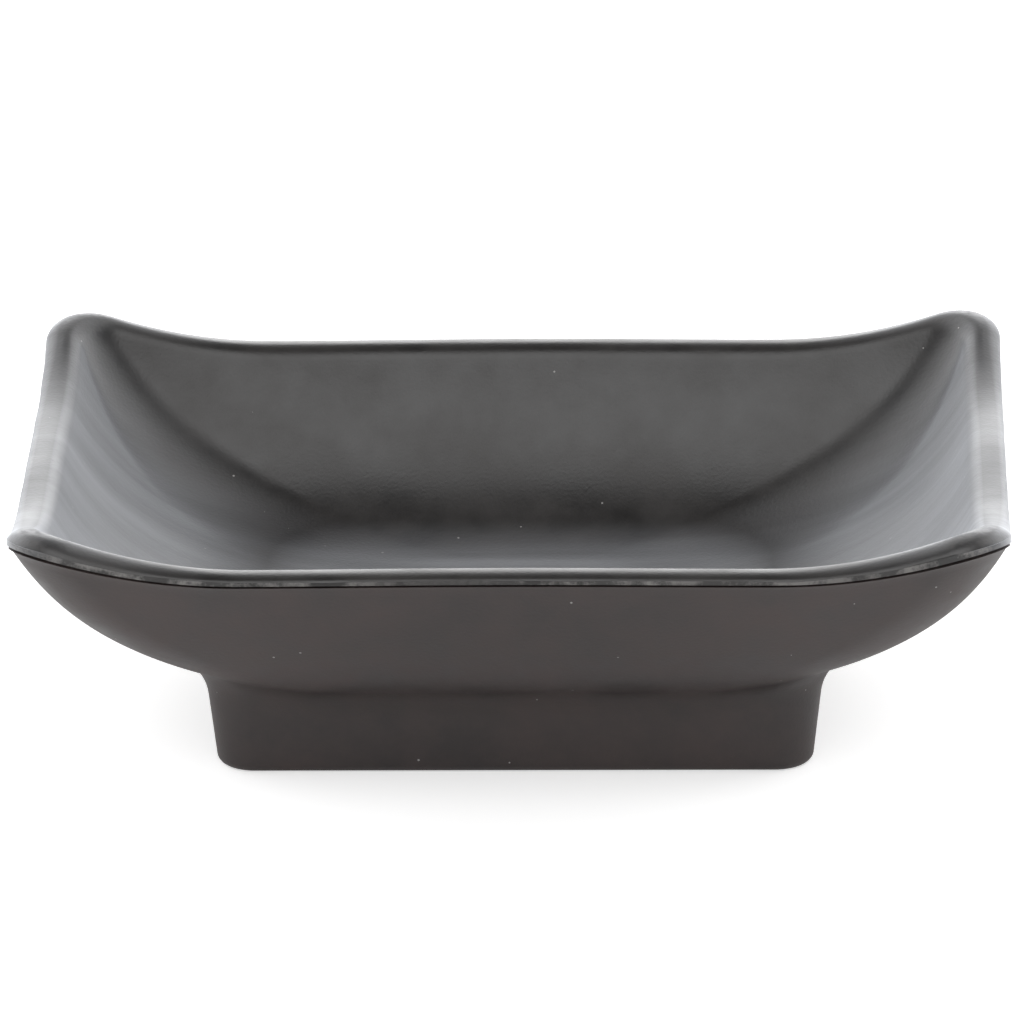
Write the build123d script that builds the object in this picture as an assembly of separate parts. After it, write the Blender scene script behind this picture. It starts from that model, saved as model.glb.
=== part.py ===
import math
import os

from build123d import *

# Overall size of the dish, in millimetres, standing on its foot with the long side along X.
LENGTH = 95.0
WIDTH = 70.0
SIDE_HEIGHT = 26.1        # rim at the low points of each side, above the table
EAR_RISE = 3.4            # the four raised corners stand this far above the low points
EAR_REACH = 16.0          # length of side over which the rim climbs towards a corner
EAR_LIMIT = 0.8           # most of half a side that a climb may take
SIDE_CROWN = 0.15         # slight hump at the middle of each side

# Bowl: a flat floor and a wall that sweeps up from it and flares to the rim, of nearly even thickness.
FLOOR_HEIGHT = 10.3       # inside floor, above the table
END_RUN = 32.0            # plan distance from the edge of the floor to the rim, at the ends
SIDE_RUN = 18.8           # and at the long sides
END_BEND = 0.76           # 0.5 makes an end wall a parabola; more keeps it low for longer
SIDE_BEND = 0.56          # the same for a long side
WALL = 3.0
LINER = 1.0               # part of the wall that is the food-side layer
FLOOR_CORNER = 8.0        # plan radii of the inside corners: at the floor,
BELLY_CORNER = 9.6        # half way up the sweep
RIM_CORNER = 2.8          # and at the rim

# Rim: a rolled lip whose trimmed band stands a little proud of the outside wall.
LIP_WIDTH = 3.2
LIP_ROLL = 1.2            # height of the rounded edge on the food side
LIP_EDGE = 0.7            # radius of the outside edge
BAND_HEIGHT = 0.9
BAND_STEP = 0.2

# Foot: a drafted, hollow rectangle under the bowl, measured where it stands.
FOOT_LENGTH = 57.6
FOOT_WIDTH = 37.0
FOOT_CORNER = 3.8
FOOT_WALL = 3.0
FOOT_DRAFT = 5.5          # degrees
FOOT_FILLET = 5.2         # outside, between foot and bowl
FOOT_EDGE = 1.0           # rounding of the standing face
RECESS_CORNER = 2.5
RECESS_FILLET = 1.0       # inside, between foot and underside

SECTIONS = 7              # outlines that each sweep of the wall is drawn through
LIP_SECTIONS = 4          # outlines that each rounded edge of the lip is drawn through
QUARTER_ARC = 4 / 3 * math.tan(math.pi / 8)     # handle of a curve that follows a quarter circle
DEPTH = SIDE_HEIGHT - FLOOR_HEIGHT              # of the bowl, below the low points of the rim
END_WALL = (END_RUN, END_BEND)
SIDE_WALL = (SIDE_RUN, SIDE_BEND)
MEAN_WALL = ((END_RUN + SIDE_RUN) / 2, (END_BEND + SIDE_BEND) / 2)


def outline(half_length, half_width, corner, height, rise):
    """Closed rounded rectangle whose corners climb above the low points of its sides."""
    # A side climbs as a parabola; the corner carries its slope on to a rounded tip.
    handle = QUARTER_ARC * corner
    climb = min(EAR_REACH, EAR_LIMIT * (min(half_length, half_width) - corner))
    bow = rise / (climb * (climb + 1.5 * handle))
    slope = 2 * bow * climb
    shoulder = height + bow * climb**2
    crown = height + SIDE_CROWN * rise / EAR_RISE
    edges = []
    for quarter in range(4):
        run, reach = (half_width, half_length) if quarter % 2 else (half_length, half_width)
        start = run - corner
        side = Spline(
            (start, reach, shoulder),
            (start - climb, reach, height),
            (0, reach, crown),
            (climb - start, reach, height),
            (-start, reach, shoulder),
            tangents=((-1, 0, -slope), (-1, 0, slope)),
        )
        turn = Bezier(
            (-start, reach, shoulder),
            (-start - handle, reach, shoulder + slope * handle),
            (-run, reach - corner + handle, shoulder + slope * handle),
            (-run, reach - corner, shoulder),
        )
        edges += [edge.rotate(Axis.Z, 90 * quarter) for edge in (side, turn)]
    return Wire(edges)


def slope_at(share, wall):
    """Angle of a wall at a share of its sweep, from level at the floor."""
    run, bend = wall
    return math.atan2(DEPTH * share, run * (bend * (1 - 2 * share) + share))


def inset_at(share, wall):
    """Inset of the food side of a wall from the overall size at a share of its sweep."""
    run, bend = wall
    return LIP_WIDTH + run * (1 - 2 * bend * share * (1 - share) - share**2)


def corner_at(share):
    """Plan radius of the food side at a share of its sweep."""
    floor_part = FLOOR_CORNER * (1 - share) * (1 - 2 * share)
    return floor_part + 4 * BELLY_CORNER * share * (1 - share) + RIM_CORNER * share * (2 * share - 1)


def section(share, depth):
    """Outline of the wall; share runs from the floor, 0, to the rim, 1; depth is below the food side."""
    end = inset_at(share, END_WALL) - depth * math.sin(slope_at(share, END_WALL))
    side = inset_at(share, SIDE_WALL) - depth * math.sin(slope_at(share, SIDE_WALL))
    slope = slope_at(share, MEAN_WALL)
    height = FLOOR_HEIGHT + DEPTH * share**2 - depth * math.cos(slope)
    corner = corner_at(share) + depth * math.sin(slope)
    return outline(LENGTH / 2 - end, WIDTH / 2 - side, corner, height, EAR_RISE * share**6)


def rim(end, side, drop):
    """Outline of the lip at insets from the overall size and a drop below the top."""
    outside = RIM_CORNER + LIP_WIDTH
    inward = (end + side) / 2 / inset_at(roll_start, MEAN_WALL)
    corner = outside + (corner_at(roll_start) - outside) * inward
    rise = EAR_RISE * (1 - drop / DEPTH) ** 3
    return outline(LENGTH / 2 - end, WIDTH / 2 - side, corner, SIDE_HEIGHT - drop, rise)


def sweep(outlines):
    """Smooth surface through outlines."""
    return Shell.make_loft(outlines).faces()


def strip(first, second):
    """Straight surface between two outlines."""
    return Shell.make_loft([first, second], ruled=True).faces()


def wall_sweep(depth, top):
    """Wall from the floor up to the top outline, with the flat floor closing it."""
    sections = [section(step / SECTIONS, depth) for step in range(SECTIONS)]
    return sweep(sections + [top]) + [Face(sections[0])]


def roll_inset(part, wall):
    """Inset on the rolled food side of the lip; part runs from the flat top, 0, to the wall, 1."""
    turn = slope_at(roll_start, wall)
    radius = LIP_ROLL / (1 - math.cos(turn))
    return inset_at(roll_start, wall) + radius * (math.sin(turn * part) - math.sin(turn))


def edges_along(solid, target):
    """Edges of the solid that lie on the target and run round the dish."""
    level = [edge for edge in solid.edges() if abs((edge % 0.5).Z) < 0.5]
    return [edge for edge in level if all(target.distance_to(edge @ at) < 0.01 for at in (0.2, 0.5, 0.8))]


# Outlines at the rim, from the food side over the lip to the top of the outer shell.
roll_start = math.sqrt(1 - LIP_ROLL / DEPTH)
roll_turn = slope_at(roll_start, MEAN_WALL)
roll = []
band_edge = []
for step in range(LIP_SECTIONS):
    part = step / (LIP_SECTIONS - 1)
    drop = LIP_ROLL * (1 - math.cos(roll_turn * part)) / (1 - math.cos(roll_turn))
    roll.append(rim(roll_inset(part, END_WALL), roll_inset(part, SIDE_WALL), drop))
    inset = LIP_EDGE * (1 - math.sin(math.pi / 2 * part))
    band_edge.append(rim(inset, inset, LIP_EDGE * (1 - math.cos(math.pi / 2 * part))))
band_foot = rim(0, 0, BAND_HEIGHT)
shell_lip = rim(BAND_STEP, BAND_STEP, BAND_HEIGHT)
seam_top = math.sqrt(1 - BAND_HEIGHT / DEPTH)
seam_lip = section(seam_top, LINER)

# The two layers share the seam faces, so they meet without a gap.
seam = wall_sweep(LINER, seam_lip) + strip(seam_lip, shell_lip)

# Inner liner: food side, rolled lip and trimmed band.
food_side = wall_sweep(0, roll[-1])
lip = sweep(roll) + strip(roll[0], band_edge[0]) + sweep(band_edge)
band = strip(band_edge[-1], band_foot) + strip(band_foot, shell_lip)
inner_liner = Solid(Shell(food_side + lip + band + seam))

# Outer shell: the outside wall of the bowl.
bowl = Solid(Shell(wall_sweep(WALL, shell_lip) + seam))

# Foot: the hollow rectangle, limited to the room under the middle of the bowl's wall.
foot_plan = RectangleRounded(FOOT_LENGTH, FOOT_WIDTH, FOOT_CORNER)
foot_block = extrude(foot_plan, SIDE_HEIGHT, taper=-FOOT_DRAFT)
recess_plan = RectangleRounded(FOOT_LENGTH - 2 * FOOT_WALL, FOOT_WIDTH - 2 * FOOT_WALL, RECESS_CORNER)
recess = extrude(recess_plan, SIDE_HEIGHT, taper=FOOT_DRAFT)
mid_lip = section(seam_top, (WALL + LINER) / 2)
table = outline(LENGTH / 2, WIDTH / 2, RIM_CORNER, 0, 0)
room = wall_sweep((WALL + LINER) / 2, mid_lip) + strip(mid_lip, table) + [Face(table)]
foot = (foot_block - recess) & Solid(Shell(room))

# The foot is moulded with the bowl, so they are one piece with rounded joins.
outer_shell = (bowl + foot).solid()
for block, radius in ((foot_block, FOOT_FILLET), (recess, RECESS_FILLET)):
    walls = Shell(block.faces().filter_by(lambda face: abs(face.normal_at().Z) < 0.5))
    joins = [edge for edge in edges_along(outer_shell, walls) if (edge @ 0.5).Z > FOOT_EDGE]
    outer_shell = outer_shell.fillet(radius, joins)
outer_shell = outer_shell.fillet(FOOT_EDGE, outer_shell.edges().group_by(Axis.Z)[0])

os.makedirs("parts", exist_ok=True)
export_step(outer_shell, "parts/outer_shell.step")
export_step(inner_liner, "parts/inner_liner.step")
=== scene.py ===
import math

import bmesh
import bpy
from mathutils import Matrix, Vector, noise


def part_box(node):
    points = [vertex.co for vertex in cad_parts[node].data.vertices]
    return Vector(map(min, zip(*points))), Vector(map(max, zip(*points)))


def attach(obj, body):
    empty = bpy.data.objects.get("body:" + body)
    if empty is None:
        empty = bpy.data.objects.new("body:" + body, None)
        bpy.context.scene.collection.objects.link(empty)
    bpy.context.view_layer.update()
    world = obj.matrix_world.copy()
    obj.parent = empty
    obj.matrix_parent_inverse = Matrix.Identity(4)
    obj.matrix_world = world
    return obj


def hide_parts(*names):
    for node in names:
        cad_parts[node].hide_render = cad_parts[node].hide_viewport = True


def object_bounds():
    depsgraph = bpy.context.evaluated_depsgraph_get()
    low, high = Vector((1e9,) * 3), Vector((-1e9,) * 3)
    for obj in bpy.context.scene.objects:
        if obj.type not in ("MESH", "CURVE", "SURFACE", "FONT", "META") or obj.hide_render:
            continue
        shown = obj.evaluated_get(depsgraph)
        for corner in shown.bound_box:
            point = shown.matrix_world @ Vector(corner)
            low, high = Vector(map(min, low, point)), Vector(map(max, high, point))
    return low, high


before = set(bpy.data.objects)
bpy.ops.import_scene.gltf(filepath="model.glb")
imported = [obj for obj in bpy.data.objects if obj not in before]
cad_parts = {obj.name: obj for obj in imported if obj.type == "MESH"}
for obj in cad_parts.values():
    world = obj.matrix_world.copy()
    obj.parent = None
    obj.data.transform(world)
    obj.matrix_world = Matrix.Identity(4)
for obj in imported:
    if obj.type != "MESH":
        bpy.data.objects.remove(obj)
cad_low, cad_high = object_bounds()

# Outer shell: the first pressing, the outside wall of the bowl and its hollow foot in one moulding
# of black melamine. The wall flares from a flat floor to a rounded rectangle with four raised ears,
# and the foot's drafted wall runs into it through a wide fillet.
MM = 0.001
WALL = 3.0 * MM
LINER = 1.0 * MM                # food-side layer of the wall, a piece of its own
LIP_WIDTH = 3.2 * MM
LIP_ROLL = 1.2 * MM             # height of the rounded edge of the lip on the food side
BAND_STEP = 0.2 * MM            # the rim band stands this far proud of the outside wall
BAND_HEIGHT = 0.9 * MM
EAR_RISE = 3.4 * MM
EAR_REACH = 16.0 * MM
EAR_LIMIT = 0.8                 # most of half a side that a climb to an ear may take
SIDE_CROWN = 0.15 * MM          # slight hump at the middle of each side
END_WALL = (32.0 * MM, 0.76)    # plan distance from the edge of the floor to the rim, and bend: 0.5 makes
SIDE_WALL = (18.8 * MM, 0.56)   # the wall a parabola and more keeps it low for longer
MEAN_WALL = tuple(sum(pair) / 2 for pair in zip(END_WALL, SIDE_WALL))
FLOOR_CORNER, BELLY_CORNER, RIM_CORNER = 8.0 * MM, 9.6 * MM, 2.8 * MM
FLOOR_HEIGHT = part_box("inner_liner")[0].z + LINER
SIDE_HEIGHT = cad_high.z - EAR_RISE
DEPTH = SIDE_HEIGHT - FLOOR_HEIGHT
FOOT_X, FOOT_Y, FOOT_CORNER = 28.8 * MM, 18.5 * MM, 3.8 * MM
FOOT_WALL = 3.0 * MM
FOOT_DRAFT = math.tan(math.radians(5.5))
FOOT_FILLET = 5.2 * MM
FOOT_EDGE = 1.0 * MM
RECESS_CORNER = 2.5 * MM
RECESS_FILLET = 1.0 * MM
QUARTER_ARC = 4 / 3 * math.tan(math.pi / 8)
SIDE_PART = 0.75                # part of each quarter turn of an outline that is the straight side
QUARTER_STEPS = 120             # mesh columns in a quarter turn
COLUMNS = [step / QUARTER_STEPS for step in range(4 * QUARTER_STEPS)]
HALVINGS = 24                   # steps in which a search closes in on its answer
BAND_BEND = 6 / 7               # share of the sweep from which the outside wall bends to the rim band
FILLET_STEPS = 10               # mesh rows over a fillet of the foot
EDGE_STEPS = 6                  # and over the rounding of its standing edge
FLAT_PARTS = (0.8, 0.6, 0.4, 0.2, 0.04)     # rings that close a flat face, as parts of its edge


def around(u, half_length, half_width, corner, height, rise=0.0):
    """Point of an outline; u grows by 1 along each side and the corner after it."""
    quarter, along = divmod(u, 1)
    run, reach = (half_width, half_length) if quarter % 2 else (half_length, half_width)
    start = run - corner
    handle = QUARTER_ARC * corner
    climb = min(EAR_REACH, EAR_LIMIT * (min(half_length, half_width) - corner))
    bow = rise / (climb * (climb + 1.5 * handle))
    if along < SIDE_PART:
        x, y = start * (1 - 2 * along / SIDE_PART), reach
        dip = start - climb
        if abs(x) > dip:
            z = bow * (abs(x) - dip) ** 2
        else:
            z = SIDE_CROWN * rise / EAR_RISE * (1 - (x / dip) ** 2) ** 2
    else:
        t = (along - SIDE_PART) / (1 - SIDE_PART)
        first, second, third = 3 * t * (1 - t) ** 2, 3 * t**2 * (1 - t), t**3
        x = -start - first * handle - (second + third) * corner
        y = reach - second * (corner - handle) - third * corner
        z = bow * climb**2 + (first + second) * 2 * bow * climb * handle
    for _ in range(int(quarter) % 4):
        x, y = -y, x
    return Vector((x, y, height + z))


def slope_at(share, sides):
    """Angle of a wall at a share of its sweep, from the floor, 0, to the rim, 1."""
    run, bend = sides
    return math.atan2(DEPTH * share, run * (bend * (1 - 2 * share) + share))


def inset_at(share, sides):
    run, bend = sides
    return LIP_WIDTH + run * (1 - 2 * bend * share * (1 - share) - share**2)


def corner_at(share):
    floor_part = FLOOR_CORNER * (1 - share) * (1 - 2 * share)
    return floor_part + 4 * BELLY_CORNER * share * (1 - share) + RIM_CORNER * share * (2 * share - 1)


def wall(share, depth):
    """Sizes of the wall's outline at a share of its sweep; depth is below the food side."""
    end = inset_at(share, END_WALL) - depth * math.sin(slope_at(share, END_WALL))
    side = inset_at(share, SIDE_WALL) - depth * math.sin(slope_at(share, SIDE_WALL))
    slope = slope_at(share, MEAN_WALL)
    height = FLOOR_HEIGHT + DEPTH * share**2 - depth * math.cos(slope)
    corner = corner_at(share) + depth * math.sin(slope)
    return cad_high.x - end, cad_high.y - side, corner, height, EAR_RISE * share**6


roll_start = math.sqrt(1 - LIP_ROLL / DEPTH)


def rim(end, side, drop):
    """Sizes of the lip's outline at insets from the overall size and a drop below the top."""
    widest = RIM_CORNER + LIP_WIDTH
    inward = (end + side) / 2 / inset_at(roll_start, MEAN_WALL)
    corner = widest + (corner_at(roll_start) - widest) * inward
    rise = EAR_RISE * (1 - drop / DEPTH) ** 3
    return cad_high.x - end, cad_high.y - side, corner, SIDE_HEIGHT - drop, rise


def ring(sizes):
    return [around(u, *sizes) for u in COLUMNS]


def share_at(point, depth):
    """Share of the wall whose outline passes over a plan point."""
    low, high = 0.0, 1.0
    for _ in range(HALVINGS):
        share = (low + high) / 2
        half_length, half_width, corner = wall(share, depth)[:3]
        over_x, over_y = abs(point.x) - half_length + corner, abs(point.y) - half_width + corner
        gap = math.hypot(max(over_x, 0), max(over_y, 0)) + min(max(over_x, over_y), 0) - corner
        low, high = (share, high) if gap > 0 else (low, share)
    return share


def column_at(point, share, depth):
    """The u of a point that lies on the wall's outline."""
    half_length, half_width, corner = wall(share, depth)[:3]
    x, y = point.x, point.y
    for quarter in range(4):
        run, reach = (half_width, half_length) if quarter % 2 else (half_length, half_width)
        start = run - corner
        if y > reach - corner and x <= start:
            if x > -start:
                return quarter + SIDE_PART * (1 - x / start) / 2
            turn = math.atan2(-start - x, y - reach + corner) / (math.pi / 2)
            return quarter + SIDE_PART + (1 - SIDE_PART) * turn
        x, y = y, -x
    raise ValueError("the point is not on the outline")


def underside(point):
    """Height of the underside of the bowl over a plan point."""
    return wall(share_at(point, WALL), WALL)[3]


def outside(u, share):
    """Point of the outside wall; its last part bends on to the foot of the rim band."""
    if share <= BAND_BEND:
        return around(u, *wall(share, WALL))
    start, end = around(u, *wall(BAND_BEND, WALL)), around(u, *rim(BAND_STEP, BAND_STEP, BAND_HEIGHT))
    tangent = (start - around(u, *wall(BAND_BEND - 0.01, WALL))) * (1 - BAND_BEND) / 0.01
    part = (share - BAND_BEND) / (1 - BAND_BEND)
    return start + tangent * part + (end - start - tangent) * part**2


def foot_profile(u, half_length, half_width, corner, way, fillet):
    """One upright cut of a foot wall: the fillet from the wall to the bowl.

    way is 1 for the outside of the foot and -1 for its recess.
    """
    base = around(u, half_length, half_width, corner, 0)
    normal = around(u, half_length + MM, half_width + MM, corner + MM, 0) - base
    normal = normal.normalized() * way
    across = [step * fillet / 16 for step in range(-8, 48)]     # half a radius inside to three outside
    bowl = [(offset, underside(base + normal * offset)) for offset in across]
    low, high = 0.0, underside(base)
    for _ in range(HALVINGS):
        rise = (low + high) / 2
        centre = (rise * FOOT_DRAFT + fillet, rise - fillet * FOOT_DRAFT)
        touch = min(bowl, key=lambda at: math.dist(at, centre))
        low, high = (rise, high) if math.dist(touch, centre) > fillet else (low, rise)
    first = math.pi - math.atan(FOOT_DRAFT)
    last = math.atan2(touch[1] - centre[1], touch[0] - centre[0])
    cut = []
    for step in range(FILLET_STEPS + 1):
        angle = first + (last - first) * step / FILLET_STEPS
        offset, height = centre[0] + fillet * math.cos(angle), centre[1] + fillet * math.sin(angle)
        cut.append(base + normal * offset + Vector((0, 0, height)))
    return cut


def edge_rings(half_length, half_width, corner, way):
    """Rounded edge between the standing face and a wall of the foot."""
    rings = []
    for step in range(EDGE_STEPS + 1):
        angle = math.pi / 2 * step / EDGE_STEPS
        offset = -way * FOOT_EDGE * (1 - math.sin(angle))
        height = FOOT_EDGE * (1 - math.cos(angle))
        rings.append(ring((half_length + offset, half_width + offset, corner + offset, height)))
    return rings


def to_middle(edge):
    """Rings that close a flat floor towards the middle."""
    return [[Vector((p.x * part, p.y * part, p.z)) for p in edge] for part in FLAT_PARTS]


def moulding(name, rings):
    """Closed mesh through rings of points that run round the dish."""
    shape = bmesh.new()
    rows = [[shape.verts.new(point) for point in points] for points in rings]
    for row, following in zip(rows, rows[1:]):
        for at in range(len(row)):
            shape.faces.new((row[at - 1], row[at], following[at], following[at - 1]))
    for row in (rows[0], rows[-1]):
        shape.faces.new(row)
    bmesh.ops.recalc_face_normals(shape, faces=shape.faces)
    mesh = bpy.data.meshes.new(name)
    shape.to_mesh(mesh)
    shape.free()
    mesh.shade_smooth()
    mesh.set_sharp_from_angle(angle=math.radians(40))
    piece = bpy.data.objects.new(name, mesh)
    bpy.context.collection.objects.link(piece)
    return piece


recess_x, recess_y = FOOT_X - FOOT_WALL, FOOT_Y - FOOT_WALL
recess_cuts = [foot_profile(u, recess_x, recess_y, RECESS_CORNER, -1, RECESS_FILLET) for u in COLUMNS]
foot_cuts = [foot_profile(u, FOOT_X, FOOT_Y, FOOT_CORNER, 1, FOOT_FILLET) for u in COLUMNS]
ceiling = [cut[-1] for cut in recess_cuts]
shell_rings = []
for part in FLAT_PARTS[::-1]:
    flat = [Vector((p.x * part, p.y * part, 0)) for p in ceiling]
    shell_rings.append([p + Vector((0, 0, underside(p))) for p in flat])
shell_rings += [[cut[step] for cut in recess_cuts] for step in range(FILLET_STEPS, -1, -1)]
shell_rings += edge_rings(recess_x, recess_y, RECESS_CORNER, -1)[::-1]
shell_rings += edge_rings(FOOT_X, FOOT_Y, FOOT_CORNER, 1)
shell_rings += [[cut[step] for cut in foot_cuts] for step in range(FILLET_STEPS + 1)]
BELLY_ROWS = 36
foot_shares = [share_at(cut[-1], WALL) for cut in foot_cuts]
for row in range(1, BELLY_ROWS + 1):
    part = row / BELLY_ROWS
    belly = []
    for u, cut, share in zip(COLUMNS, foot_cuts, foot_shares):
        start = column_at(cut[-1], share, WALL)
        start -= 4 * round((start - u) / 4)
        belly.append(outside((start + (u - start) * part) % 4, share + (1 - share) * part))
    shell_rings.append(belly)
SEAM_ROWS = 14
seam_top = math.sqrt(1 - BAND_HEIGHT / DEPTH)
SEAM_GROOVE = 0.25 * MM         # depth and height of the flash line under the rim band
groove_inset = BAND_STEP + SEAM_GROOVE
shell_rings[-1:] = [
    ring(rim(BAND_STEP, BAND_STEP, BAND_HEIGHT + SEAM_GROOVE)),
    ring(rim(groove_inset, groove_inset, BAND_HEIGHT + SEAM_GROOVE / 2)),
    ring(rim(groove_inset, groove_inset, BAND_HEIGHT)),
]
seam_rings = [ring(wall(seam_top * (1 - row / SEAM_ROWS), LINER)) for row in range(SEAM_ROWS + 1)]
seam_rings += to_middle(seam_rings[-1])
outer_shell = moulding("outer_shell_moulding", shell_rings + seam_rings)


def linear(code):
    """Colour written as sRGB hex, for a shader."""
    parts = [int(code[at:at + 2], 16) / 255 for at in (1, 3, 5)]
    return [p / 12.92 if p <= 0.04045 else ((p + 0.055) / 1.055) ** 2.4 for p in parts] + [1.0]


def node(tree, kind, links=None, settings=None, **values):
    """Add a shader node: its settings, values for its sockets, and links into its sockets."""
    made = tree.nodes.new(kind)
    for key, value in (settings or {}).items():
        setattr(made, key, value)
    for key, value in values.items():
        made.inputs[key.replace("_", " ")].default_value = value
    for key, source in (links or {}).items():
        tree.links.new(source, made.inputs[key])
    return made


def melamine(name, dark, light, roughness):
    """Moulded resin: cloudy colour and gloss, faint sink hollows, fine mould grain and a few pale specks."""
    made = bpy.data.materials.new(name)
    made.use_nodes = True
    tree = made.node_tree
    surface = tree.nodes["Principled BSDF"]
    surface.inputs["IOR"].default_value = 1.6
    place = node(tree, "ShaderNodeTexCoord").outputs["Object"]
    cloud = node(tree, "ShaderNodeTexNoise", {"Vector": place}, Scale=1 / (8 * MM), Detail=6.0,
                 Roughness=0.65)
    cloud = cloud.outputs["Fac"]
    tone = node(tree, "ShaderNodeValToRGB", {"Fac": cloud})
    tone.color_ramp.elements[0].position, tone.color_ramp.elements[1].position = 0.36, 0.64
    tone.color_ramp.elements[0].color, tone.color_ramp.elements[1].color = linear(dark), linear(light)
    gloss = node(tree, "ShaderNodeMapRange", {"Value": cloud}, From_Min=0.3, From_Max=0.7,
                 To_Min=0.8 * roughness, To_Max=1.2 * roughness)
    tree.links.new(gloss.outputs["Result"], surface.inputs["Roughness"])
    cells = node(tree, "ShaderNodeTexVoronoi", {"Vector": place}, Scale=1 / (2.2 * MM))
    chosen = node(tree, "ShaderNodeMath", {0: cells.outputs["Color"]}, {"operation": "GREATER_THAN"})
    chosen.inputs[1].default_value = 0.62
    near = node(tree, "ShaderNodeMath", {0: cells.outputs["Distance"]}, {"operation": "LESS_THAN"})
    near.inputs[1].default_value = 0.05
    speck = node(tree, "ShaderNodeMath", {0: chosen.outputs[0], 1: near.outputs[0]},
                 {"operation": "MULTIPLY"})
    colour = node(tree, "ShaderNodeMixRGB", {"Fac": speck.outputs[0], "Color1": tone.outputs["Color"]},
                  Color2=linear("#8C8A88"))
    tree.links.new(colour.outputs["Color"], surface.inputs["Base Color"])
    # The grain of a blasted mould is near 0.05 mm; it is drawn at 0.35 mm so that it shows.
    wave = node(tree, "ShaderNodeTexNoise", {"Vector": place}, Scale=1 / (14 * MM), Detail=1.0)
    grain = node(tree, "ShaderNodeTexNoise", {"Vector": place}, Scale=1 / (0.35 * MM), Detail=2.0)
    hollow = node(tree, "ShaderNodeBump", {"Height": wave.outputs["Fac"]}, Distance=0.25 * MM)
    skin = node(tree, "ShaderNodeBump", {"Height": grain.outputs["Fac"], "Normal": hollow.outputs["Normal"]},
                Strength=0.5, Distance=0.035 * MM)
    tree.links.new(skin.outputs["Normal"], surface.inputs["Normal"])
    return made


def rub(made, where, size, colour):
    """Paler, rougher marks, broken up at a size, where a mask lets them through."""
    tree = made.node_tree
    surface = tree.nodes["Principled BSDF"]
    place = node(tree, "ShaderNodeTexCoord").outputs["Object"]
    torn = node(tree, "ShaderNodeTexNoise", {"Vector": place}, Scale=1 / size, Detail=5.0, Roughness=0.75)
    torn = node(tree, "ShaderNodeMapRange", {"Value": torn.outputs["Fac"]}, From_Min=0.47, From_Max=0.6)
    marks = node(tree, "ShaderNodeMath", {0: where, 1: torn.outputs["Result"]}, {"operation": "MULTIPLY"})
    for socket, paler in (("Base Color", linear(colour)), ("Roughness", [0.7, 0.7, 0.7, 1.0])):
        before = surface.inputs[socket].links[0].from_socket
        after = node(tree, "ShaderNodeMixRGB", {"Fac": marks.outputs[0], "Color1": before}, Color2=paler)
        tree.links.new(after.outputs["Color"], surface.inputs[socket])


# Matte melamine: a warm black with a dull, cloudy skin that keeps the outside dark and even, rubbed a
# little paler where the foot stands on the table.
matte = melamine("matte_black_melamine", "#221918", "#342927", 0.5)
tree = matte.node_tree
place = node(tree, "ShaderNodeTexCoord").outputs["Object"]
height = node(tree, "ShaderNodeSeparateXYZ", {0: place}).outputs["Z"]
standing = node(tree, "ShaderNodeMapRange", {"Value": height}, From_Min=0.3 * MM, From_Max=0.0)
rub(matte, standing.outputs["Result"], 1.5 * MM, "#4C4542")
outer_shell.data.materials.append(matte)
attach(outer_shell, "root")
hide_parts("outer_shell")

# Inner liner: the second pressing, the food side of the bowl with the rolled lip and the rim band.
# It is black melamine moulded on to the shell, and its flash was trimmed off by hand at the band.
LIP_EDGE = 0.7 * MM             # drop of the lip's rounded outside edge
LIP_FALL = 1.6 * MM             # and the width over which it falls
TRIM_START = 0.5 * MM           # drop below the rim at which the trimming cut starts,
TRIM_WANDER = 0.12 * MM         # how far the hand strayed from it,
TRIM_WAVE = 5.0 * MM            # over what length,
TRIM_CUT = 0.05 * MM            # and how far the cut goes into the band
LIP_ROWS = 10
FOOD_ROWS = 44


def trim_line(u):
    """Drop below the rim at which the trimming cut starts."""
    return TRIM_START + TRIM_WANDER * noise.noise(around(u, *rim(0, 0, 0)) / TRIM_WAVE)


def trimmed(u, part):
    """Point of the lip's outside edge, from its flat top, 0, to the start of the trimming cut, 1."""
    angle = math.acos(1 - trim_line(u) / LIP_EDGE) * part
    inset = LIP_FALL * (1 - math.sin(angle))
    return around(u, *rim(inset, inset, LIP_EDGE * (1 - math.cos(angle))))


liner_rings = to_middle(ring(wall(0, 0)))[::-1]
liner_rings += [ring(wall(roll_start * row / FOOD_ROWS, 0)) for row in range(FOOD_ROWS)]
roll_turn = slope_at(roll_start, MEAN_WALL)


def roll_inset(part, sides):
    """Inset on the rolled food side of the lip; part runs from the flat top, 0, to the wall, 1."""
    turn = slope_at(roll_start, sides)
    radius = LIP_ROLL / (1 - math.cos(turn))
    return inset_at(roll_start, sides) + radius * (math.sin(turn * part) - math.sin(turn))


for row in range(LIP_ROWS, -1, -1):
    part = row / LIP_ROWS
    drop = LIP_ROLL * (1 - math.cos(roll_turn * part)) / (1 - math.cos(roll_turn))
    liner_rings.append(ring(rim(roll_inset(part, END_WALL), roll_inset(part, SIDE_WALL), drop)))
liner_rings += [[trimmed(u, row / LIP_ROWS) for u in COLUMNS] for row in range(LIP_ROWS + 1)]
cut_row = len(liner_rings)
liner_rings.append([around(u, *rim(2 * TRIM_CUT, 2 * TRIM_CUT, trim_line(u) + TRIM_CUT)) for u in COLUMNS])
liner_rings.append(ring(rim(TRIM_CUT, TRIM_CUT, BAND_HEIGHT)))
liner_rings.append(ring(rim(groove_inset, groove_inset, BAND_HEIGHT)))
inner_liner = moulding("inner_liner_moulding", liner_rings + seam_rings)
trim = inner_liner.data.attributes.new("trim", "FLOAT", "POINT")
for at in range(cut_row * len(COLUMNS), (cut_row + 2) * len(COLUMNS)):
    trim.data[at].value = 1.0

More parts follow.
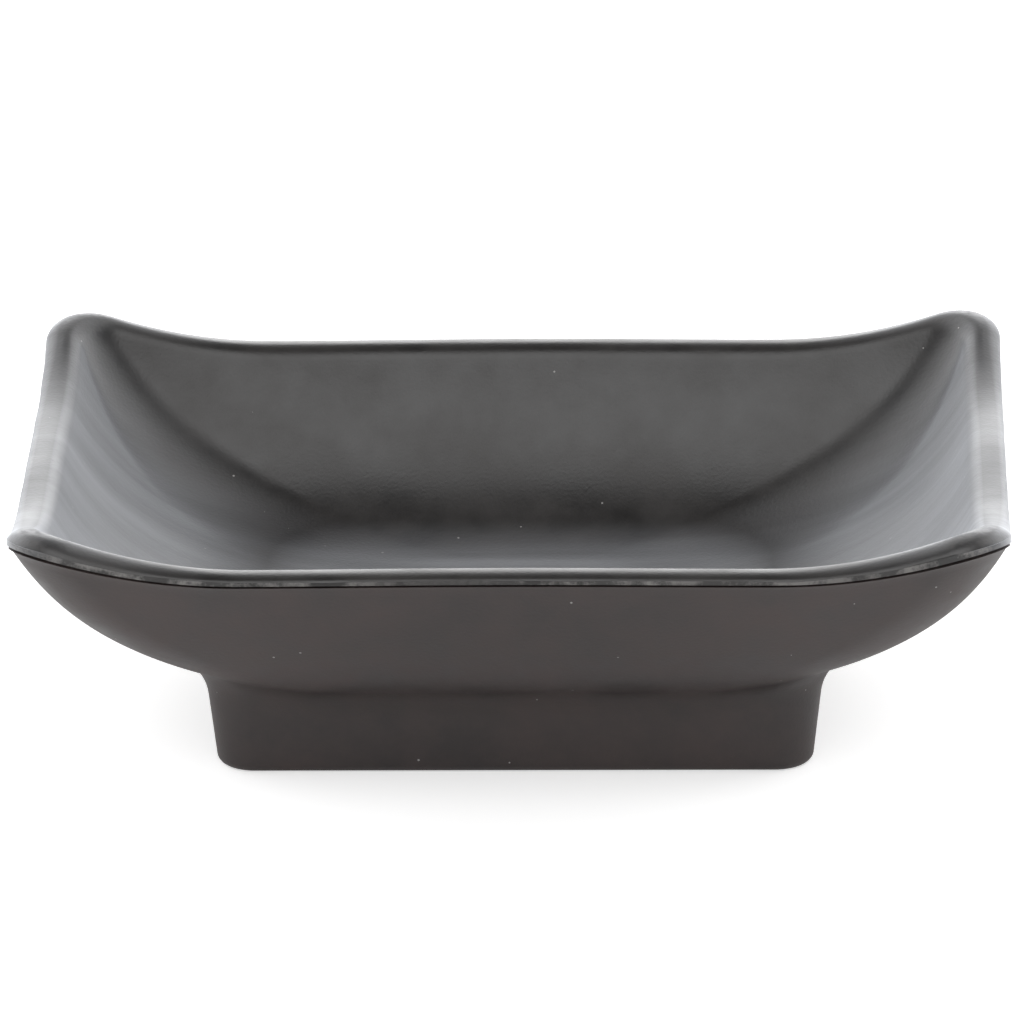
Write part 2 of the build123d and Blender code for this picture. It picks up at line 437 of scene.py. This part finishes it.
# Satin melamine: a warm black under a pale bloom that greys it where the eye grazes it, on the floor that
# food rubs and the ends that hands hold, with faint wiping streaks. The trimming cut is paler and rougher,
# and the tips of the ears are drawn a little paler and rougher too.
# Its black is drawn darker than the shell's, though both are the same melamine: this is painted shade over
# the food side.
satin = melamine("satin_black_melamine", "#120F0E", "#1D1917", 0.38)
tree = satin.node_tree
surface = tree.nodes["Principled BSDF"]
surface.inputs["Sheen Roughness"].default_value = 0.5
surface.inputs["Sheen Tint"].default_value = linear("#F6F9FF")
spot = node(tree, "ShaderNodeTexCoord").outputs
smooth = {"interpolation_type": "SMOOTHSTEP"}
multiply, largest = {"operation": "MULTIPLY"}, {"operation": "MAXIMUM"}
endways = node(tree, "ShaderNodeSeparateXYZ", {0: spot["Normal"]}).outputs["X"]
endways = node(tree, "ShaderNodeMath", {0: endways}, {"operation": "ABSOLUTE"}).outputs[0]
held = node(tree, "ShaderNodeMapRange", {"Value": endways}, smooth, From_Min=0.02, From_Max=0.5)
place = node(tree, "ShaderNodeSeparateXYZ", {0: spot["Object"]}).outputs
height = place["Z"]
scoured = node(tree, "ShaderNodeMapRange", {"Value": height}, smooth,
               From_Min=FLOOR_HEIGHT + 2.0 * MM, From_Max=FLOOR_HEIGHT + 0.3 * MM)
outwards = node(tree, "ShaderNodeMath", {0: place["X"]}, {"operation": "ABSOLUTE"}).outputs[0]
gripped = node(tree, "ShaderNodeMapRange", {"Value": outwards}, smooth,
               From_Min=cad_high.x - 12 * MM, From_Max=cad_high.x - LIP_WIDTH, To_Max=0.5)
used = node(tree, "ShaderNodeMath", {0: held.outputs["Result"], 1: scoured.outputs["Result"]}, largest)
used = node(tree, "ShaderNodeMath", {0: used.outputs[0], 1: gripped.outputs["Result"]}, largest)
bloom = node(tree, "ShaderNodeMapRange", {"Value": used.outputs[0]}, To_Min=0.06)
drawn = node(tree, "ShaderNodeMapping", {"Vector": spot["Object"]}, Scale=(0.05, 1.0, 0.05))
wiped = node(tree, "ShaderNodeTexNoise", {"Vector": drawn.outputs["Vector"]}, Scale=1 / (2 * MM), Detail=3.0)
wiped = node(tree, "ShaderNodeMapRange", {"Value": wiped.outputs["Fac"]}, From_Min=0.3, From_Max=0.7,
             To_Min=0.75, To_Max=1.0)
bloom = node(tree, "ShaderNodeMath", {0: bloom.outputs["Result"], 1: wiped.outputs["Result"]}, multiply)
tree.links.new(bloom.outputs[0], surface.inputs["Sheen Weight"])
marked = node(tree, "ShaderNodeAttribute", settings={"attribute_name": "trim"}).outputs["Fac"]
patch = node(tree, "ShaderNodeTexNoise", {"Vector": spot["Object"]}, Scale=1 / (24 * MM), Detail=1.0)
patch = node(tree, "ShaderNodeMapRange", {"Value": patch.outputs["Fac"]}, From_Min=0.4, From_Max=0.62)
scraped = node(tree, "ShaderNodeMath", {0: marked, 1: patch.outputs["Result"]}, multiply)
rub(satin, scraped.outputs[0], 4 * MM, "#6E6C6A")
tips = node(tree, "ShaderNodeMapRange", {"Value": height}, smooth,
            From_Min=cad_high.z - 1.2 * MM, From_Max=cad_high.z)
rub(satin, tips.outputs["Result"], 1.5 * MM, "#3C3937")
inner_liner.data.materials.append(satin)
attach(inner_liner, "root")
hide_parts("inner_liner")

# Floor: a plain white acrylic table top under the dish, softly lit from below.
# The camera sees it as nearly white, and it keeps the dish's faint shadow.
bpy.ops.mesh.primitive_plane_add(size=6.0, location=(0, 0, 0))
floor = bpy.context.object
floor.name = "floor"
acrylic = bpy.data.materials.new("white_acrylic")
acrylic.use_nodes = True
tree = acrylic.node_tree
surface = tree.nodes["Principled BSDF"]
surface.inputs["Base Color"].default_value = linear("#F4F4F4")
surface.inputs["Roughness"].default_value = 0.9
surface.inputs["Emission Color"].default_value = (1, 1, 1, 1)
seen = node(tree, "ShaderNodeLightPath").outputs["Is Camera Ray"]
glow = node(tree, "ShaderNodeMapRange", {"Value": seen}, To_Min=0.17, To_Max=0.5)
tree.links.new(glow.outputs["Result"], surface.inputs["Emission Strength"])
floor.data.materials.append(acrylic)

# Light: a white studio with a dim ceiling and darker walls behind the camera. It is brightest low at the
# back, with a wide soft box in front and a panel at each side; the camera sees plain white behind the dish.
scene = bpy.context.scene
scene.view_settings.view_transform = "Standard"
world = bpy.data.worlds.new("studio")
scene.world = world
world.use_nodes = True
tree = world.node_tree
way = node(tree, "ShaderNodeSeparateXYZ", {0: node(tree, "ShaderNodeTexCoord").outputs["Generated"]}).outputs
aside = node(tree, "ShaderNodeMath", {0: way["X"]}, {"operation": "ABSOLUTE"}).outputs["Value"]
mirrored = node(tree, "ShaderNodeCombineXYZ", {"X": aside, "Y": way["Y"], "Z": way["Z"]}).outputs["Vector"]


def soft_light(turn, height, start, full, level):
    """Light from a part of the studio; turn is 0 at the back, 90 at the sides and 180 in front.

    It starts and is full at cosines of the angle from its middle.
    """
    turn, height = math.radians(turn), math.radians(height)
    facing = node(tree, "ShaderNodeVectorMath", {0: mirrored}, {"operation": "DOT_PRODUCT"})
    level_way = Vector((math.sin(turn), math.cos(turn), 0)) * math.cos(height)
    facing.inputs[1].default_value = level_way + Vector((0, 0, math.sin(height)))
    return node(tree, "ShaderNodeMapRange", {"Value": facing.outputs["Value"]}, smooth,
                From_Min=start, From_Max=full, To_Max=level).outputs["Result"]


walls = node(tree, "ShaderNodeMapRange", {"Value": way["Y"]}, smooth, From_Min=-0.7, From_Max=0.3,
             To_Min=0.22, To_Max=0.95)
room = node(tree, "ShaderNodeMapRange", {"Value": way["Z"], "To Min": walls.outputs["Result"]}, smooth,
            From_Min=0.35, From_Max=0.62, To_Max=0.03).outputs["Result"]
back_light = soft_light(0, 16, 0.88, 0.985, 2.4)
soft_box = soft_light(180, 50, 0.82, 0.95, 2.4)
side_panels = soft_light(62, 36, 0.75, 0.95, 1.8)
for light in (back_light, soft_box, side_panels):
    room = node(tree, "ShaderNodeMath", {0: room, 1: light}, {"operation": "ADD"}).outputs["Value"]
seen = node(tree, "ShaderNodeLightPath").outputs["Is Camera Ray"]
level = node(tree, "ShaderNodeMix", {"Factor": seen, "A": room}, B=1.0)
tree.links.new(level.outputs["Result"], tree.nodes["Background"].inputs["Strength"])
tree.nodes["Background"].inputs["Color"].default_value = (1, 1, 1, 1)

# Camera: a long lens, a little above the rim and nearly square to the long side. Its place and lens were
# fitted to the outline of the dish in the photo.
ELEVATION, YAW, ROLL = math.radians(20.08), math.radians(-1.587), math.radians(-0.688)
DISTANCE = 1.042
AIM_HEIGHT = 14 * MM
FOCAL_PIXELS, PICTURE_PIXELS = 10703, 1024
view = bpy.data.cameras.new("camera")
camera = bpy.data.objects.new("camera", view)
bpy.context.collection.objects.link(camera)
view.sensor_width = 36.0
view.lens = view.sensor_width * FOCAL_PIXELS / PICTURE_PIXELS
view.shift_x = -0.0053
view.shift_y = 0.0571
back = Vector((-math.sin(YAW), -math.cos(YAW), math.tan(ELEVATION))).normalized()
camera.location = Vector((0, 0, AIM_HEIGHT)) + DISTANCE * back
camera.rotation_euler = back.to_track_quat("Z", "Y").to_euler()
camera.rotation_euler.rotate_axis("Z", ROLL)
scene.camera = camera
